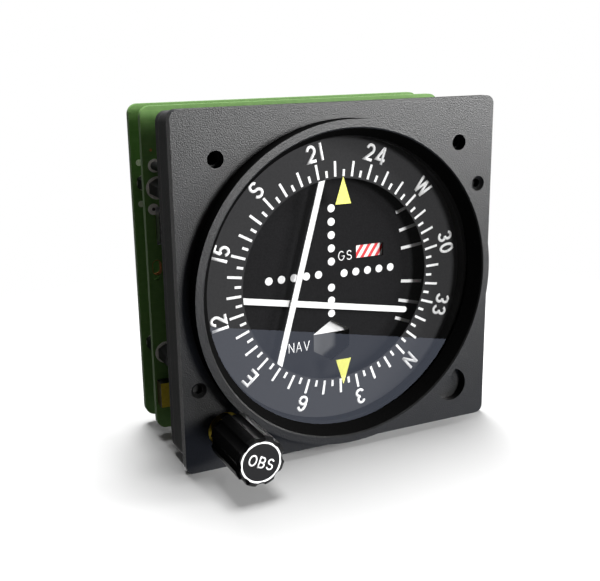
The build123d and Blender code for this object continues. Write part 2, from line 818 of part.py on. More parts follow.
pieces = {
    "front_plate": front_plate,
    "bezel_ring": bezel_ring,
    "window_glass": window_glass,
    "card_sleeve": card_sleeve,
    "index_marks": index_marks,
    "compass_card": compass_card,
    "card_gear": card_gear,
    "card_frame": card_frame,
    "movement_frame": movement_frame,
    "rear_cover": rear_cover,
    "inner_dial": inner_dial,
    "course_needle": course_needle,
    "course_pivot_shaft": course_pivot_shaft,
    "glide_needle": glide_needle,
    "glide_pivot_shaft": glide_pivot_shaft,
    "course_movement": course_movement,
    "glide_movement": glide_movement,
    "glide_flag": glide_flag,
    "signal_flag": signal_flag,
    "arrow_vane": arrow_vane,
    "vane_movements": vane_movements,
    "course_knob": course_knob,
    "knob_set_screw": knob_set_screw,
    "course_shaft": course_shaft,
    "course_pinion": course_pinion,
    "shaft_bushing": shaft_bushing,
    "course_encoder": course_encoder,
    "front_board": front_board,
    "rear_board": rear_board,
    "housing_standoffs": housing_standoffs,
    "board_standoffs": board_standoffs,
    "board_screws": board_screws,
    "spacer_pins": spacer_pins,
    "crystal_can": crystal_can,
    "yellow_relay": yellow_relay,
    "front_board_chips": front_board_chips,
    "rear_board_chips": rear_board_chips,
    "header_socket": header_socket,
    "header_strip": header_strip,
    "rear_plug_body": rear_plug_body,
    "rear_plug_shell": rear_plug_shell,
    "rear_plug_screws": rear_plug_screws,
}
for name, piece in pieces.items():
    piece.part.label = name
    export_step(piece.part, f"parts/{name}.step")
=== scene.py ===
from math import cos, pi, radians, sin

import bpy
from mathutils import Matrix, Vector


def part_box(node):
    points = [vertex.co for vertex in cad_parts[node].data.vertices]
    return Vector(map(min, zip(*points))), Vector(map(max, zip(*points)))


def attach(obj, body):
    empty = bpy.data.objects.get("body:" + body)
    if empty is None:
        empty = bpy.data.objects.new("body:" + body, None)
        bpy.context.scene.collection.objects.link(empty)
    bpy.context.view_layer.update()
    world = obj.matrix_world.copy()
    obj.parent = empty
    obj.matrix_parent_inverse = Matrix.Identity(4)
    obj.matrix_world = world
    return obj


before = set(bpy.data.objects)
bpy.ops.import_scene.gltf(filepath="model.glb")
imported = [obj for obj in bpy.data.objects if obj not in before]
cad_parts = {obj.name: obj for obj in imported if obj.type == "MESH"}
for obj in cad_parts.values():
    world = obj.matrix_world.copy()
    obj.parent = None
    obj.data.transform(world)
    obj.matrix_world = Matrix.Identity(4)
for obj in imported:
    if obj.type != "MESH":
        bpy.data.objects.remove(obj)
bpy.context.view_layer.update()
bpy.ops.object.select_all(action="DESELECT")

# The camera stands to the left of the instrument and a little above it, close enough
# that the square plate narrows clearly towards its far side.
mm = 0.001
view_turn = radians(-25.609)
view_height = radians(15.060)
view_roll = radians(-0.818)
view_distance = 214.689 * mm
view_target = Vector((-11.817, 0, -0.097)) * mm
focal_pixels = 927.936
frame_width = 600
view_back = Vector((sin(view_turn) * cos(view_height), -cos(view_turn) * cos(view_height), sin(view_height)))
view_level = Vector((0, 0, 1)).cross(view_back).normalized()
view_rise = view_back.cross(view_level)
view_right = view_level * cos(view_roll) + view_rise * sin(view_roll)
view_up = view_rise * cos(view_roll) - view_level * sin(view_roll)
bpy.ops.object.camera_add()
camera = bpy.context.object
camera.matrix_world = Matrix.Translation(view_target + view_back * view_distance) @ Matrix(
    (view_right, view_up, view_back)).transposed().to_4x4()
camera.data.sensor_width = 36
camera.data.lens = focal_pixels / frame_width * camera.data.sensor_width
camera.data.clip_start = 5 * mm
bpy.context.scene.camera = camera
bpy.context.scene.view_settings.view_transform = "Standard"


# The instrument stands on a plain white sheet that fades into a white room. One softbox
# stands in front at the right, one at the right, and a broad panel overhead and a little
# behind throws the soft shadow on the sheet. Polished faces see the white backdrop behind,
# and in front a dark room with a pale blue table top below, as the window does.
def linear(hex_colour):
    """The linear colour of an sRGB hex value."""
    shares = [int(hex_colour[i:i + 2], 16) / 255 for i in (1, 3, 5)]
    return tuple(s / 12.92 if s <= 0.04045 else ((s + 0.055) / 1.055) ** 2.4 for s in shares) + (1,)


def add(tree, kind, inputs=None, **settings):
    """Adds one node with its settings, its fixed inputs and its links."""
    made = tree.nodes.new(kind)
    for name, value in settings.items():
        setattr(made, name, value)
    for key, value in (inputs or {}).items():
        if isinstance(value, bpy.types.NodeSocket):
            tree.links.new(value, made.inputs[key])
        else:
            made.inputs[key].default_value = value
    return made


def blend(tree, share, first, second):
    """The colour that goes from first to second as share goes from none to all."""
    factor, first_colour, second_colour, result = 0, 6, 7, 2
    mixed = add(tree, "ShaderNodeMix", {factor: share, first_colour: first, second_colour: second},
                data_type="RGBA")
    return mixed.outputs[result]


def sum_up(tree, operation, *values):
    """One arithmetic step on numbers or sockets."""
    return add(tree, "ShaderNodeMath", dict(enumerate(values)), operation=operation).outputs[0]


floor_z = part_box("front_plate")[0][2]
floor_size = 30
sheet_end = 95 * mm
backdrop_start = 190 * mm
bpy.ops.mesh.primitive_plane_add(size=floor_size, location=(0, 0, floor_z))
floor = bpy.context.object
floor.name = "floor"
paper = bpy.data.materials.new("white_paper_sweep")
paper.use_nodes = True
tree = paper.node_tree
tree.nodes.clear()
where = add(tree, "ShaderNodeTexCoord")
reach = add(tree, "ShaderNodeVectorMath", {0: where.outputs["Object"]}, operation="LENGTH")
fade = add(tree, "ShaderNodeMapRange", {"Value": reach.outputs["Value"], "From Min": sheet_end,
                                        "From Max": backdrop_start})
ray = add(tree, "ShaderNodeLightPath")
unseen = sum_up(tree, "SUBTRACT", 1.0, ray.outputs["Is Camera Ray"])
gone = sum_up(tree, "MAXIMUM", unseen, fade.outputs[0])
sheet = add(tree, "ShaderNodeBsdfDiffuse", {"Color": linear("#b0b0b0")})
through = add(tree, "ShaderNodeBsdfTransparent")
mixed = add(tree, "ShaderNodeMixShader", {0: gone, 1: sheet.outputs[0], 2: through.outputs[0]})
add(tree, "ShaderNodeOutputMaterial", {"Surface": mixed.outputs[0]})
floor.data.materials.append(paper)

room = bpy.data.worlds.new("studio_room")
bpy.context.scene.world = room
room.use_nodes = True
tree = room.node_tree
tree.nodes.clear()
ray = add(tree, "ShaderNodeLightPath")
way = add(tree, "ShaderNodeTexCoord")
table_slope = (0.198, -0.257, 1.0)
rear_side = -0.2
rear_top = 0.15
room_black = (0.03, 0.03, 0.03, 1)
table_blue = (0.52, 0.58, 0.75, 1)
backdrop_white = (1, 1, 1, 1)
shadow_fill = (0.12, 0.12, 0.12, 1)
table_line = add(tree, "ShaderNodeVectorMath", {0: way.outputs["Generated"], 1: table_slope},
                 operation="DOT_PRODUCT")
aside, behind, height = add(tree, "ShaderNodeSeparateXYZ", {0: way.outputs["Generated"]}).outputs
table = sum_up(tree, "MULTIPLY", sum_up(tree, "LESS_THAN", table_line.outputs["Value"], 0.0),
               sum_up(tree, "GREATER_THAN", aside, 0.0))
rear = sum_up(tree, "MULTIPLY", sum_up(tree, "GREATER_THAN", behind, 0.0),
              sum_up(tree, "GREATER_THAN", aside, rear_side))
low_rear = sum_up(tree, "MULTIPLY", rear, sum_up(tree, "LESS_THAN", height, rear_top))
front_wall = blend(tree, table, room_black, table_blue)
wall = blend(tree, low_rear, front_wall, backdrop_white)
fill = blend(tree, ray.outputs["Is Glossy Ray"], shadow_fill, wall)
white = sum_up(tree, "MAXIMUM", ray.outputs["Is Camera Ray"], ray.outputs["Is Transmission Ray"])
seen = blend(tree, white, fill, backdrop_white)
sky = add(tree, "ShaderNodeBackground", {"Color": seen, "Strength": 1.0})
add(tree, "ShaderNodeOutputWorld", {"Surface": sky.outputs[0]})


def lamp(name, place, aim, width, height, power):
    """A flat softbox at place, turned to aim."""
    bpy.ops.object.light_add(type="AREA", location=place)
    box = bpy.context.object
    box.name = name
    box.data.shape = "RECTANGLE"
    box.data.size = width
    box.data.size_y = height
    box.data.energy = power
    box.rotation_euler = (Vector(aim) - Vector(place)).to_track_quat("-Z", "Y").to_euler()


lamp("front_softbox", place=(0.345, -0.71, 0.125), aim=(0, 0, 0), width=0.22, height=0.22, power=8.0)
lamp("right_softbox", place=(0.68, -0.38, 0.15), aim=(0, 0, 0), width=0.22, height=0.22, power=9.5)
lamp("overhead_panel", place=(0.075, 0.250, 0.750), aim=(0.075, 0.250, 0), width=0.35, height=0.60,
     power=20.0)


def surface(name, dark, light, grain, roughness, metallic=0.0, relief=0.0, tint=None, **sockets):
    """A material that varies between two colours over grains of one size, with some relief."""
    made = bpy.data.materials.new(name)
    made.use_nodes = True
    tree = made.node_tree
    tree.nodes.clear()
    darkest = 0.35
    lightest = 0.65
    swing = 0.05
    where = add(tree, "ShaderNodeTexCoord").outputs["Object"]
    noise = add(tree, "ShaderNodeTexNoise", {"Vector": where, "Scale": 1 / grain, "Detail": 3.0})
    spread = add(tree, "ShaderNodeMapRange", {"Value": noise.outputs["Fac"], "From Min": darkest,
                                              "From Max": lightest})
    colour = blend(tree, spread.outputs[0], linear(dark), linear(light))
    if tint:
        colour = tint(tree, where, colour)
    gloss = add(tree, "ShaderNodeMapRange", {"Value": noise.outputs["Fac"], "To Min": roughness - swing,
                                             "To Max": roughness + swing})
    shader = add(tree, "ShaderNodeBsdfPrincipled", {"Base Color": colour, "Roughness": gloss.outputs[0],
                                                    "Metallic": metallic, **sockets})
    if relief:
        bump = add(tree, "ShaderNodeBump", {"Height": noise.outputs["Fac"], "Strength": relief,
                                            "Distance": grain})
        tree.links.new(bump.outputs[0], shader.inputs["Normal"])
    add(tree, "ShaderNodeOutputMaterial", {"Surface": shader.outputs[0]})
    return made


def dress(material, *names):
    """Gives CAD nodes one material."""
    for name in names:
        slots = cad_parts[name].data.materials
        slots.clear()
        slots.append(material)


# Mounting plate: 2.4 mm aluminium sheet, sprayed with a half matt black paint whose fine
# grain shows as speckle. Its holes and the recess at one corner are cut before painting.
paint_grain = 0.3 * mm
paint_roughness = 0.38
paint_relief = 0.3
paint_shine = 0.36
plate_paint = surface("grained_black_paint_on_aluminium", "#080808", "#131313", grain=paint_grain,
                      roughness=paint_roughness, relief=paint_relief,
                      **{"Specular IOR Level": paint_shine})
dress(plate_paint, "front_plate")


# Bezel ring: turned aluminium, painted like the plate on its front face. The funnel is dead
# matt black, so that no light strays onto the card; the outer wall is blackened too, as
# painted shade on the side that faces away from the lamps.
bezel_face_y = -4.0 * mm
bezel_edge = 0.32 * mm
# Near black: the funnel's matt paint, and painted shade on the outer wall.
funnel_black_and_wall_shade = linear("#0b0b0b")


def distance_from_axis(tree, where, x=0.0, z=0.0):
    """How far a point lies from an axis that runs front to back at x and z."""
    shifted = add(tree, "ShaderNodeVectorMath", {0: where, 1: (x, 0, z)}, operation="SUBTRACT").outputs[0]
    flat = add(tree, "ShaderNodeVectorMath", {0: shifted, 1: (1, 0, 1)}, operation="MULTIPLY").outputs[0]
    return add(tree, "ShaderNodeVectorMath", {0: flat}, operation="LENGTH").outputs["Value"]


def behind_face(tree, where):
    """One on the funnel and the outer wall, none on the ring's front face."""
    depth = add(tree, "ShaderNodeSeparateXYZ", {0: where}).outputs["Y"]
    return sum_up(tree, "GREATER_THAN", depth, bezel_face_y + bezel_edge)


def black_funnel_and_shaded_wall(tree, where, colour):
    """Keeps the paint on the ring's front face and blackens the rest: black paint in the funnel, painted
    shade on the outer wall.
    """
    return blend(tree, behind_face(tree, where), colour, funnel_black_and_wall_shade)


bezel_paint = surface("bezel_paint_with_matt_black_funnel", "#080808", "#131313", grain=paint_grain,
                      roughness=paint_roughness, relief=paint_relief, tint=black_funnel_and_shaded_wall)
tree = bezel_paint.node_tree
dull = behind_face(tree, add(tree, "ShaderNodeTexCoord").outputs["Object"])
sheen = add(tree, "ShaderNodeMapRange", {"Value": dull, "To Min": paint_shine, "To Max": 0.0})
shader = next(node for node in tree.nodes if node.type == "BSDF_PRINCIPLED")
tree.links.new(sheen.outputs[0], shader.inputs["Specular IOR Level"])
dress(bezel_paint, "bezel_ring")

# Window: one flat pane of float glass; light passes it, and its front mirrors the room as
# much as the two faces of a real pane do together.
glass = bpy.data.materials.new("flat_float_glass")
glass.use_nodes = True
tree = glass.node_tree
tree.nodes.clear()
pane_colour = (0.98, 0.98, 0.98, 1)
two_face_ior = 2.0
clear = add(tree, "ShaderNodeBsdfTransparent", {"Color": pane_colour})
mirror = add(tree, "ShaderNodeBsdfGlossy", {"Roughness": 0.0})
fresnel = add(tree, "ShaderNodeFresnel", {"IOR": two_face_ior}).outputs[0]
inner = add(tree, "ShaderNodeNewGeometry").outputs["Backfacing"]
share = sum_up(tree, "MULTIPLY", fresnel, sum_up(tree, "SUBTRACT", 1.0, inner))
pane = add(tree, "ShaderNodeMixShader", {0: share, 1: clear.outputs[0], 2: mirror.outputs[0]})
add(tree, "ShaderNodeOutputMaterial", {"Surface": pane.outputs[0]})
dress(glass, "window_glass")

# Sleeve behind the window: a thin aluminium tube, sprayed matt black. Its rear end is the
# journal that the compass card turns on.
sleeve_black = surface("matt_black_sleeve_paint", "#090909", "#111111", grain=0.4 * mm, roughness=0.75,
                       **{"Specular IOR Level": 0.1})
dress(sleeve_black, "card_sleeve")

# Index triangles: two pale yellow triangles of printed film. They are stuck to the back of
# the window, at the top and at the bottom.
pale_yellow = surface("pale_yellow_film", "#f4f47e", "#fbfb8c", grain=0.6 * mm, roughness=0.6,
                      **{"Specular IOR Level": 0.05})
dress(pale_yellow, "index_marks")

# Compass card: a ring of charcoal plastic sheet, with ticks and figures screen printed in
# white. It is fixed to the card gear, which turns it.
card_face = 3.5 * mm
ink_depth = 0.03 * mm
card_top_bearing = 221.44
tick_inner = 25.09 * mm
long_tick = 3.6 * mm
short_tick = 1.6 * mm
tick_width = 0.6 * mm
figure_reach = 31.35 * mm
figure_height = 4.15 * mm
figure_weight = 0.68 * mm
charcoal = surface("matt_charcoal_plastic_card", "#343435", "#383839", grain=0.5 * mm, roughness=0.7,
                   **{"Specular IOR Level": 0.0})
white_ink = surface("white_screen_ink", "#f2f2f2", "#fcfcfc", grain=0.3 * mm, roughness=0.6,
                    **{"Specular IOR Level": 0.05})
dress(charcoal, "compass_card")


def choose(*pieces):
    """Selects only these pieces and makes the first one active."""
    bpy.ops.object.select_all(action="DESELECT")
    for piece in pieces:
        piece.select_set(True)
    bpy.context.view_layer.objects.active = pieces[0]


def bake(piece):
    """Puts a piece's place, turn and size into its mesh."""
    choose(piece)
    bpy.ops.object.transform_apply(location=True, rotation=True, scale=True)
    return piece


def bevel_edges(piece, width, segments=1):
    """Rounds all the edges of a finished primitive."""
    choose(piece)
    bpy.ops.object.mode_set(mode="EDIT")
    bpy.ops.mesh.select_all(action="SELECT")
    bpy.ops.mesh.bevel(offset=width, segments=segments)
    bpy.ops.object.mode_set(mode="OBJECT")
    return piece


def merge(pieces):
    """Joins pieces into one mesh."""
    choose(*pieces)
    bpy.ops.object.join()
    return pieces[0]


def repeat(piece, places):
    """Copies a piece to each place matrix, each copy with its own mesh, and joins them."""
    made = []
    for place in places:
        twin = piece.copy()
        twin.data = piece.data.copy()
        bpy.context.collection.objects.link(twin)
        twin.matrix_world = place
        made.append(bake(twin))
    bpy.data.objects.remove(piece)
    return merge(made)


def seat(x, y, z, turn=0.0):
    """A place at x, y and z, turned clockwise as seen from the front."""
    return Matrix.Translation((x, y, z)) @ Matrix.Rotation(turn, 4, "Y")


def finish(piece, name, material, body):
    """Names a finished piece and gives it its material and body."""
    piece.name = name
    piece.data.materials.clear()
    piece.data.materials.append(material)
    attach(piece, body)


def slab(width, depth, height, edge=0.01 * mm):
    """A flat block centred on the origin with softened edges."""
    bpy.ops.mesh.primitive_cube_add(size=1)
    made = bpy.context.object
    made.scale = (width, depth, height)
    return bevel_edges(bake(made), edge)


def disc(radius, depth, edge=0.01 * mm, corners=48):
    """A round block centred on the origin that faces the front, with softened edges."""
    bpy.ops.mesh.primitive_cylinder_add(vertices=corners, radius=radius, depth=depth, rotation=(pi / 2, 0, 0))
    return bevel_edges(bake(bpy.context.object), edge)


for name, length, first in (("card_long_ticks", long_tick, 0), ("card_short_ticks", short_tick, 5)):
    reach = tick_inner + length / 2
    turns = [radians(bearing - card_top_bearing) for bearing in range(first, 360, 10)]
    places = [seat(reach * sin(turn), card_face - ink_depth / 2, reach * cos(turn), turn) for turn in turns]
    finish(repeat(slab(tick_width, ink_depth, length), places), name, white_ink, "compass")


def arc(x, z, across, up, start, end):
    """Points on an oval round x and z, from start to end degrees, anticlockwise from the right."""
    steps = round(abs(end - start) / 15)
    turns = [radians(start + (end - start) * step / steps) for step in range(steps + 1)]
    return [(x + across * cos(turn), z + up * sin(turn)) for turn in turns]


# Centre lines of plain gothic letters one unit high.
letter_lines = {
    "0": [arc(0.3, 0.5, 0.22, 0.42, 0, 360)],
    "1": [[(0.16, 0), (0.16, 1)]],
    "2": [arc(0.3, 0.67, 0.22, 0.25, 175, -40) + [(0.08, 0.08), (0.55, 0.08)]],
    "3": [arc(0.29, 0.71, 0.2, 0.21, 165, -90), arc(0.3, 0.29, 0.22, 0.21, 90, -165)],
    "4": [[(0.44, 0), (0.44, 1)], [(0.41, 0.96), (0.06, 0.26), (0.62, 0.26)]],
    "5": [[(0.53, 0.92), (0.16, 0.92), (0.11, 0.5)], arc(0.3, 0.33, 0.22, 0.25, 150, -155)],
    "6": [arc(0.3, 0.31, 0.22, 0.23, 0, 360), arc(0.32, 0.5, 0.24, 0.42, 35, 180) + [(0.08, 0.31)]],
    "A": [[(0.04, 0), (0.33, 1)], [(0.33, 1), (0.62, 0)], [(0.14, 0.33), (0.52, 0.33)]],
    "B": [[(0.08, 0), (0.08, 1)],
          [(0.05, 0.92), (0.3, 0.92)] + arc(0.32, 0.71, 0.2, 0.21, 90, -90) + [(0.08, 0.5)],
          [(0.3, 0.5)] + arc(0.33, 0.29, 0.22, 0.21, 90, -90) + [(0.05, 0.08)]],
    "E": [[(0.57, 0.92), (0.08, 0.92), (0.08, 0.08), (0.59, 0.08)], [(0.08, 0.5), (0.53, 0.5)]],
    "G": [arc(0.38, 0.5, 0.3, 0.42, 45, 340) + [(0.68, 0.47), (0.42, 0.47)]],
    "N": [[(0.08, 0), (0.08, 1)], [(0.08, 0.97), (0.6, 0.03)], [(0.6, 0), (0.6, 1)]],
    "O": [arc(0.38, 0.5, 0.3, 0.42, 0, 360)],
    "S": [arc(0.31, 0.71, 0.22, 0.21, 20, 270), arc(0.31, 0.29, 0.24, 0.21, 90, -165)],
    "V": [[(0.03, 1), (0.33, 0)], [(0.33, 0), (0.63, 1)]],
    "W": [[(0.03, 1), (0.24, 0)], [(0.24, 0), (0.45, 1)], [(0.45, 1), (0.66, 0)], [(0.66, 0), (0.87, 1)]],
}


def letters(words, height, weight, x, z, turn, face):
    """Printed letters with strokes of one weight, centred on x and z and turned clockwise."""
    strokes = []
    start = 0
    for letter in words:
        for stroke in letter_lines[letter]:
            line = bpy.data.curves.new(words, "CURVE")
            line.dimensions = "2D"
            line.fill_mode = "NONE"
            line.extrude = 0.5 - 0.05 * len(strokes)
            run = line.splines.new("POLY")
            run.points.add(len(stroke) - 1)
            for point, (px, pz) in zip(run.points, stroke):
                point.co = (start + px, pz, 0, 1)
            made = bpy.data.objects.new(words, line)
            bpy.context.collection.objects.link(made)
            choose(made)
            bpy.ops.object.convert(target="MESH")
            made = bpy.context.object
            width = made.modifiers.new("stroke", "SOLIDIFY")
            width.thickness = weight / height
            width.offset = 0
            width.use_even_offset = True
            bpy.ops.object.modifier_apply(modifier=width.name)
            strokes.append(made)
        start += max(px for stroke in letter_lines[letter] for px, pz in stroke) + 0.22
    made = merge(strokes)
    middle = (max(v.co.x for v in made.data.vertices) + min(v.co.x for v in made.data.vertices)) / 2
    made.matrix_world = (
        seat(x, face - ink_depth / 2, z, turn) @ Matrix.Rotation(pi / 2, 4, "X")
        @ Matrix.Diagonal((height, height, ink_depth, 1)) @ Matrix.Translation((-middle, -0.5, 0)))
    return bake(made)


figures = []
for step, words in enumerate(("N", "3", "6", "E", "12", "15", "S", "21", "24", "W", "30", "33")):
    turn = radians(step * 30 - card_top_bearing)
    x = figure_reach * sin(turn)
    z = figure_reach * cos(turn)
    figures.append(letters(words, figure_height, figure_weight, x, z, turn, card_face))
finish(merge(figures), "card_figures", white_ink, "compass")

# Inner dial: a thin aluminium disc, sprayed matt black and printed with white dots, scale
# bars and two legends. It is fixed in the second frame and stands still inside the card.
dial_face = 6.9 * mm
dot_radius = 0.97 * mm
row_start = 3.5 * mm
row_pitch = 3.28 * mm
row_middle = 0.9 * mm
row_step = 0.2 * mm
column_middle = 0.74 * mm
column_pitch = 3.26 * mm
row_dots = 5
dots_below = 3
print_depth = dial_face - ink_depth / 2
dial_black = surface("matt_black_dial_paint", "#1d1d1e", "#222223", grain=0.4 * mm, roughness=0.7,
                     **{"Specular IOR Level": 0.0})
dress(dial_black, "inner_dial")
places = []
for step in range(row_dots):
    for side in (-1, 1):
        x = side * (row_start + step * row_pitch)
        places.append(seat(x, print_depth, row_middle - side * row_step))
    places.append(seat(0, print_depth, column_middle + (step + 1) * column_pitch))
    if step < dots_below:
        places.append(seat(0, print_depth, column_middle - (step + 1) * column_pitch))
finish(repeat(disc(dot_radius, ink_depth), places), "dial_dots", white_ink, "housing")

# Scale bars: six white bars of the glideslope scale, screen printed on the dial. They fan
# out towards its right edge, from a point near its left one.
fan_x = -18.0 * mm
fan_z = 0.9 * mm
bar_width = 0.8 * mm
bars = []
for x, z, length in ((18.07, 14.31, 4.4), (19.1, 9.73, 5.4), (19.7, 5.16, 6.1), (19.85, -3.33, 6.1),
                     (19.19, -8.23, 6.1), (18.28, -12.79, 4.7)):
    run = Vector((x * mm - fan_x, z * mm - fan_z)).normalized()
    reach = Vector((x, z)) * mm + run * length * mm / 2
    place = seat(reach.x, print_depth, reach.y, Vector((0, 1)).angle_signed(run))
    bars.append(repeat(slab(bar_width, ink_depth, length * mm), [place]))
finish(merge(bars), "glide_scale_bars", white_ink, "housing")

legends = [letters("GS", height=2.6 * mm, weight=0.24 * mm, x=3.75 * mm, z=5.1 * mm, turn=0,
                   face=dial_face),
           letters("NAV", height=2.5 * mm, weight=0.22 * mm, x=-8.95 * mm, z=-16.35 * mm, turn=0,
                   face=dial_face)]
finish(merge(legends), "dial_legends", white_ink, "housing")

# Needles and arrow vane: thin aluminium strips, sprayed matt white. The needles turn on
# pivots behind the top and the left of the card, and the vane behind the arrow window.
needle_white = surface("matt_white_needle_paint", "#f6f6f5", "#fefefd", grain=0.4 * mm, roughness=0.55,
                       **{"Specular IOR Level": 0.05})
dress(needle_white, "course_needle", "glide_needle", "arrow_vane")


# Warning flags: thin aluminium vanes, painted white with red diagonal stripes. Each swings
# on a small arm behind its window in the dial.
stripe_pitch = 1.7 * mm
stripe_slant = radians(56)
stripe_start = 100.1
red_share = 0.48


def stripes(tree, where, colour):
    """Red stripes that lean to the right."""
    across = (sin(stripe_slant) / stripe_pitch, 0, -cos(stripe_slant) / stripe_pitch)
    count = add(tree, "ShaderNodeVectorMath", {0: where, 1: across}, operation="DOT_PRODUCT").outputs["Value"]
    band = sum_up(tree, "FRACT", sum_up(tree, "ADD", count, stripe_start))
    red = sum_up(tree, "LESS_THAN", band, red_share)
    return blend(tree, red, colour, linear("#e8202a"))


flag_stripes = surface("red_and_white_striped_vane", "#f6f6f4", "#fcfcfa", grain=0.4 * mm, roughness=0.55,
                       tint=stripes)
dress(flag_stripes, "glide_flag", "signal_flag")


# Housing: three moulded black frames stacked behind the plate; a thin pale line shows
# where the middle frame's back edge is gasketed to the cover.
seam_depths = (6.9 * mm, 9.1 * mm)
gasket_depth = 11.2 * mm
seam_half = 0.07 * mm


def seams(tree, where, colour):
    """Dark seams and one pale gasket line round the housing."""
    depth = add(tree, "ShaderNodeSeparateXYZ", {0: where}).outputs["Y"]
    for seam in seam_depths:
        colour = blend(tree, sum_up(tree, "COMPARE", depth, seam, seam_half), colour, linear("#000000"))
    return blend(tree, sum_up(tree, "COMPARE", depth, gasket_depth, seam_half), colour, linear("#5a5a5a"))


frame_black = surface("moulded_black_frame_plastic", "#191919", "#202020", grain=0.5 * mm, roughness=0.55,
                      relief=0.1, tint=seams, **{"Specular IOR Level": 0.2})
dress(frame_black, "card_frame", "movement_frame", "rear_cover")

# Card gear, movements and encoder: moulded black nylon. The gear carries the card, the
# movements stand in the second frame and on the rear cover, and the encoder behind it.
nylon = surface("moulded_black_nylon", "#101010", "#181818", grain=0.5 * mm, roughness=0.5)
dress(nylon, "card_gear", "course_movement", "glide_movement", "vane_movements", "course_encoder")

# Course knob: moulded black plastic with a white filled ring and legend on its face. The face
# is painted lighter than the body, as painted light on the side the lamps reach. It is
# pushed on the course shaft and held by a set screw.
knob_x = -30.95 * mm
knob_z = -30.95 * mm
knob_face = -19.6 * mm
ring_radius = 4.5 * mm
ring_weight = 0.42 * mm
face_skin = 0.02 * mm
legend_turn = radians(23.5)
legend_height = 2.7 * mm
legend_weight = 0.34 * mm


def lit_face_and_ring(tree, where, colour):
    """The knob's front face, painted lighter than the body as painted light, with its white ring."""
    reach = distance_from_axis(tree, where, knob_x, knob_z)
    off = sum_up(tree, "COMPARE", reach, ring_radius, ring_weight / 2)
    depth = add(tree, "ShaderNodeSeparateXYZ", {0: where}).outputs["Y"]
    front = sum_up(tree, "LESS_THAN", depth, knob_face + face_skin)
    # Painted light: the front face is lighter than the body, which stays black on the flanks.
    colour = blend(tree, front, colour, linear("#222223"))
    return blend(tree, sum_up(tree, "MULTIPLY", off, front), colour, linear("#fafafa"))


knob_black = surface("moulded_black_knob_plastic", "#060606", "#0b0b0c", grain=0.4 * mm, roughness=0.45,
                     relief=0.1, tint=lit_face_and_ring, **{"Specular IOR Level": 0.06})
dress(knob_black, "course_knob")
legend = letters("OBS", legend_height, legend_weight, knob_x, knob_z, legend_turn, knob_face)
finish(legend, "knob_legend", white_ink, "knob")

# Knob drive and needle pivots: the shafts and the set screw are turned steel. The pinion,
# and the bushing that carries the course shaft, are turned brass.
turned_steel = surface("turned_steel", "#9a9a9c", "#b6b6b8", grain=0.3 * mm, roughness=0.35, metallic=1.0)
dress(turned_steel, "course_shaft", "knob_set_screw", "course_pivot_shaft", "glide_pivot_shaft")
turned_brass = surface("turned_brass", "#b8982c", "#d2b44a", grain=0.3 * mm, roughness=0.35, metallic=1.0)
dress(turned_brass, "course_pinion", "shaft_bushing")


# Circuit boards: glass laminate under green solder mask, with faint copper tracks below
# the mask. The bottom edges are sawn and show the bare laminate.
track_pitch = 2.54 * mm
track_width = 0.1 * mm
track_strength = 0.12
board_bottom = -37.9 * mm
sawn = 0.03 * mm


def tracks(tree, where, colour):
    """Tracks under the mask, and bare laminate on the sawn bottom edge."""
    tilted = add(tree, "ShaderNodeMapping", {"Vector": where, "Rotation": (pi / 2, 0, 0)}).outputs[0]
    brick = add(tree, "ShaderNodeTexBrick", {"Vector": tilted, "Color1": (0, 0, 0, 1), "Color2": (0, 0, 0, 1),
                                             "Mortar": (1, 1, 1, 1), "Scale": 1.0, "Mortar Size": track_width,
                                             "Brick Width": 4 * track_pitch, "Row Height": track_pitch})
    track = sum_up(tree, "MULTIPLY", brick.outputs["Color"], track_strength)
    colour = blend(tree, track, colour, linear("#7fa45a"))
    height = add(tree, "ShaderNodeSeparateXYZ", {0: where}).outputs["Z"]
    return blend(tree, sum_up(tree, "LESS_THAN", height, board_bottom + sawn), colour, linear("#d8d0c8"))


solder_mask = surface("green_solder_mask_on_laminate", "#587a42", "#5f8048", grain=1.5 * mm,
                      roughness=0.42, tint=tracks, **{"Specular IOR Level": 0.1})
dress(solder_mask, "front_board", "rear_board")

# Tinned pads and vias: rings of tinned copper round the standoffs, the spacer pins and the
# loose holes of both boards, and small copper vias on the front board.
front_board_face = 23.6 * mm
rear_board_face = 33.3 * mm
pad_depth = 0.08 * mm
front_pad_radius = 2.75 * mm
rear_pad_radius = 2.1 * mm
pin_x = 37.8 * mm
pin_z = 27.95 * mm
pin_pad_radius = 1.6 * mm
rear_hole_x = 38.7 * mm
rear_hole_heights = (27.65 * mm, 17.54 * mm)
rear_hole_radius = 0.8 * mm
loose_x = 38.6 * mm
loose_z = 17.7 * mm
loose_pad_radius = 1.35 * mm
loose_hole_radius = 0.4 * mm
via_radius = 0.32 * mm
standoff_x = 37.4 * mm
standoff_places = ((-1, 22.7 * mm), (1, 22.7 * mm), (-1, -18.1 * mm), (1, -18.1 * mm))
tin = surface("tinned_copper", "#dcd8d0", "#f2eee6", grain=0.3 * mm, roughness=0.35, metallic=0.2)
bright_tin = surface("bright_tinned_steel", "#c4c4c6", "#dcdcde", grain=0.4 * mm, roughness=0.3,
                     metallic=0.9)
pads = []
for face, radius in ((front_board_face, front_pad_radius), (rear_board_face, rear_pad_radius)):
    places = [seat(side * standoff_x, face - pad_depth / 2, z) for side, z in standoff_places]
    pads.append(repeat(disc(radius, pad_depth), places))
places = [seat(side * pin_x, front_board_face - pad_depth / 2, pin_z) for side in (-1, 1)]
pads.append(repeat(disc(pin_pad_radius, pad_depth), places))
places = [seat(side * rear_hole_x, rear_board_face - pad_depth / 2, z)
          for side in (-1, 1) for z in rear_hole_heights]
pads.append(repeat(disc(rear_hole_radius, pad_depth), places))
places = [seat(side * loose_x, front_board_face - pad_depth / 2, loose_z) for side in (-1, 1)]
pads.append(repeat(disc(loose_pad_radius, pad_depth), places))
finish(merge(pads), "board_pads", tin, "housing")
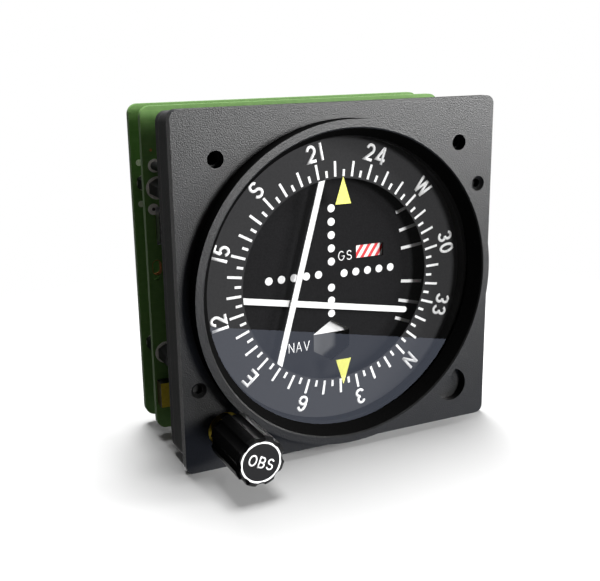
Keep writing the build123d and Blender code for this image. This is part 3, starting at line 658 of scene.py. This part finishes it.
# The loose holes are dark discs on their pads: painted shade where the holes open into the dark gap behind
# the board.
hole_shade = surface("painted_shade_in_plated_hole", "#2c2620", "#3a332a", grain=0.2 * mm, roughness=0.6)
places = [seat(side * loose_x, front_board_face - pad_depth, loose_z) for side in (-1, 1)]
holes = repeat(disc(loose_hole_radius, pad_depth), places)
finish(holes, "pad_holes", hole_shade, "housing")
copper = surface("bare_copper", "#c8824c", "#dc9a62", grain=0.3 * mm, roughness=0.4, metallic=0.7)
via_places = ((38.5, 31.6), (34.0, -14.0), (31.5, 24.5), (26.0, 30.0), (35.2, -3.5))
vias = [seat(side * x * mm, front_board_face - pad_depth / 2, z * mm)
        for side in (-1, 1) for x, z in via_places]
finish(repeat(disc(via_radius, pad_depth), vias), "board_vias", copper, "housing")

# Slot lining: the slot in the front board is plated through, so a thin copper wall lines
# it from one face to the other.
slot_x = -38.5 * mm
slot_z = 2.8 * mm
slot_radius = 1.1 * mm
slot_stretch = 1.4 * mm
slot_depth = 1.7 * mm
slot_middle = front_board_face + 0.8 * mm
plating = 0.12 * mm
bpy.ops.mesh.primitive_cylinder_add(vertices=40, radius=slot_radius, depth=slot_depth,
                                    end_fill_type="NOTHING", rotation=(pi / 2, 0, 0))
slot_wall = bake(bpy.context.object)
bpy.ops.object.mode_set(mode="EDIT")
bpy.ops.mesh.select_all(action="DESELECT")
bpy.ops.object.mode_set(mode="OBJECT")
for side in (-1, 1):
    for corner in slot_wall.data.vertices:
        corner.select = corner.co.z * side > 0.01 * mm
    bpy.ops.object.mode_set(mode="EDIT")
    bpy.ops.transform.translate(value=(0, 0, side * slot_stretch))
    bpy.ops.object.mode_set(mode="OBJECT")
lining = slot_wall.modifiers.new("lining", "SOLIDIFY")
lining.thickness = plating
lining.offset = 0
choose(slot_wall)
bpy.ops.object.modifier_apply(modifier=lining.name)
slot_wall = repeat(slot_wall, [seat(slot_x, slot_middle, slot_z)])
finish(slot_wall, "slot_plating", copper, "housing")

# Standoffs, spacer pins and screws: steel with a black oxide finish. They hold the front
# board to the housing and the rear board to the front one.
black_oxide = surface("black_oxide_steel", "#161617", "#222224", grain=0.3 * mm, roughness=0.45,
                      metallic=0.3)
dress(black_oxide, "housing_standoffs", "board_standoffs", "spacer_pins", "board_screws")

# Crystal can, plug shell and plug screws: bright tinned steel. The can is drawn, and its
# body is welded to a flange that lies on the front board.
can_x = -33.2 * mm
can_z = 13.65 * mm
dress(bright_tin, "crystal_can", "rear_plug_shell", "rear_plug_screws")
flange_middle = front_board_face - 0.2 * mm
flange = slab(width=10.0 * mm, depth=0.35 * mm, height=9.0 * mm, edge=0.02 * mm)
choose(flange)
rounding = flange.modifiers.new("corners", "BEVEL")
rounding.width = 0.1 * mm
rounding.segments = 3
bpy.ops.object.modifier_apply(modifier=rounding.name)
flange = repeat(flange, [seat(can_x, flange_middle, can_z)])
finish(flange, "can_flange", bright_tin, "housing")


# Relay: a moulded amber cover whose top is black; its left side is darkened with painted
# shade. It is soldered to the front board near its lower left corner.
relay_x = -36.4 * mm
relay_z = -28.05 * mm
relay_width = 7.6 * mm
relay_height = 6.3 * mm
relay_skin = 0.04 * mm


def black_top_and_shaded_side(tree, where, colour):
    """The black top, and painted shade that darkens the left side of the cover."""
    height = add(tree, "ShaderNodeSeparateXYZ", {0: where}).outputs["Z"]
    above = sum_up(tree, "GREATER_THAN", height, relay_z + relay_height / 2 - relay_skin)
    aside = add(tree, "ShaderNodeSeparateXYZ", {0: where}).outputs["X"]
    # Painted shade on the left side, which faces away from the lamps.
    left = sum_up(tree, "LESS_THAN", aside, relay_x - relay_width / 2 + relay_skin)
    return blend(tree, above, blend(tree, left, colour, linear("#4a4210")), linear("#0c0c0c"))


amber = surface("amber_relay_plastic", "#c8b02a", "#d4bc3a", grain=0.6 * mm, roughness=0.5,
                tint=black_top_and_shaded_side)
dress(amber, "yellow_relay")

# Chips: moulded black epoxy with a dimple at the first pin and gull wing leads on all four
# sides. They are soldered to the front face of the front board and the back of the rear one.
epoxy = surface("black_moulding_epoxy", "#19191a", "#222223", grain=0.25 * mm, roughness=0.6, relief=0.15)
dress(epoxy, "front_board_chips", "rear_board_chips", "header_socket", "header_strip", "rear_plug_body")
lead_width = 0.4 * mm
lead_sheet = 0.15 * mm
lead_pitch = 1.0 * mm
lead_shoulder = 0.3 * mm
lead_slope = 0.15 * mm
lead_foot = 0.5 * mm
lead_start = 0.12 * mm


def gull_lead(stand):
    """One lead that leaves the chip at x 0 and bends down to the board, stand further back."""
    bpy.ops.mesh.primitive_plane_add(size=1)
    made = bpy.context.object
    made.scale = (lead_shoulder, lead_width, 1)
    made.rotation_euler = (pi / 2, 0, 0)
    bake(made)
    bpy.ops.object.mode_set(mode="EDIT")
    for step in ((lead_slope, stand, 0), (lead_foot, 0, 0)):
        bpy.ops.mesh.select_all(action="DESELECT")
        bpy.ops.object.mode_set(mode="OBJECT")
        far = max(v.co.x for v in made.data.vertices)
        for corner in made.data.vertices:
            corner.select = corner.co.x > far - 0.01 * mm
        bpy.ops.object.mode_set(mode="EDIT")
        bpy.ops.mesh.select_mode(type="EDGE")
        bpy.ops.mesh.extrude_region_move(TRANSFORM_OT_translate={"value": step})
    bpy.ops.object.mode_set(mode="OBJECT")
    sheet = made.modifiers.new("sheet", "SOLIDIFY")
    sheet.thickness = lead_sheet
    sheet.offset = 0
    bpy.ops.object.modifier_apply(modifier=sheet.name)
    return made


def chip_leads(name, chips, side, face, stand, count):
    """Leads round square chips; face is the depth of the chip's middle."""
    places = []
    for x, z in chips:
        for quarter in range(4):
            for step in range(count):
                along = (step - (count - 1) / 2) * lead_pitch
                places.append(seat(x, face, z) @ Matrix.Rotation(quarter * pi / 2, 4, "Y")
                              @ Matrix.Translation((side / 2 + lead_start, 0, along)))
    finish(repeat(gull_lead(stand), places), name, tin, "housing")


chip_x = 13 * mm
rear_chip_z = 14 * mm
rear_face = 34.9 * mm
chip_middle = 0.8 * mm
chip_top = 1.6 * mm
lead_drop = 0.7 * mm
front_dimple = 4.6 * mm
rear_dimple = 5.6 * mm
front_chips = [(x * chip_x, z * chip_x) for x in (-1, 1) for z in (-1, 1)]
rear_chips = [(x * chip_x, rear_chip_z) for x in (-1, 1)]
chip_leads("front_chip_leads", front_chips, side=12 * mm, face=front_board_face - chip_middle,
           stand=lead_drop, count=9)
chip_leads("rear_chip_leads", rear_chips, side=14 * mm, face=rear_face + chip_middle,
           stand=-lead_drop, count=11)
dimples = [seat(x - front_dimple, front_board_face - chip_top, z + front_dimple) for x, z in front_chips]
dimples += [seat(x + rear_dimple, rear_face + chip_top, z + rear_dimple) for x, z in rear_chips]
dimples = repeat(disc(radius=0.5 * mm, depth=0.02 * mm, edge=0.002 * mm, corners=24), dimples)
finish(dimples, "chip_dimples", nylon, "housing")

# Rear face of the rear board: cone shaped solder joints of the header's pins, and small
# ceramic capacitors with tinned ends.
header_pitch = 2.54 * mm
header_z = 34 * mm
joint_middle = rear_face + 0.42 * mm
solder = surface("soft_solder", "#a8a8aa", "#c6c6c8", grain=0.25 * mm, roughness=0.3, metallic=0.9)
bpy.ops.mesh.primitive_cone_add(vertices=20, radius1=0.75 * mm, radius2=0.3 * mm, depth=0.9 * mm,
                                rotation=(-pi / 2, 0, 0))
joint = bevel_edges(bake(bpy.context.object), width=0.08 * mm, segments=2)
places = [seat((column - 5.5) * header_pitch, joint_middle, header_z + row * header_pitch / 2)
          for column in range(12) for row in (-1, 1)]
finish(repeat(joint, places), "header_solder", solder, "housing")
ceramic = surface("tan_ceramic", "#9c8460", "#b39a74", grain=0.3 * mm, roughness=0.5)
capacitor_places = ((25.5, 18.0), (25.5, 12.0), (25.5, 6.0), (31.0, 0.0))
capacitor_middle = rear_face + 0.4 * mm
end_reach = 0.85 * mm
places = [seat(side * x * mm, capacitor_middle, z * mm) for side in (-1, 1) for x, z in capacitor_places]
capacitors = repeat(slab(width=2.0 * mm, depth=0.8 * mm, height=1.25 * mm, edge=0.06 * mm), places)
finish(capacitors, "rear_capacitors", ceramic, "housing")
ends = [place @ Matrix.Translation((side * end_reach, 0, 0)) for place in places for side in (-1, 1)]
ends = repeat(slab(width=0.4 * mm, depth=0.88 * mm, height=1.35 * mm, edge=0.05 * mm), ends)
finish(ends, "capacitor_ends", tin, "housing")

# Harness plug: fifteen gilt contacts stand in two rows in the black body, inside the shell.
# The plug is soldered to the rear board and takes the instrument's wiring.
gilt = surface("gold_plated_contact", "#cfa53c", "#e2bd5a", grain=0.3 * mm, roughness=0.3, metallic=1.0)
plug_z = -16.0 * mm
plug_core_face = 43.5 * mm
contact_pitch = 2.76 * mm
row_offset = 1.42 * mm
contact_y = plug_core_face + 0.5 * mm
places = [seat((step - 3.5) * contact_pitch, contact_y, plug_z + row_offset) for step in range(8)]
places += [seat((step - 3) * contact_pitch, contact_y, plug_z - row_offset) for step in range(7)]
contacts = repeat(disc(radius=0.5 * mm, depth=1.2 * mm, edge=0.15 * mm, corners=20), places)
finish(contacts, "plug_contacts", gilt, "housing")
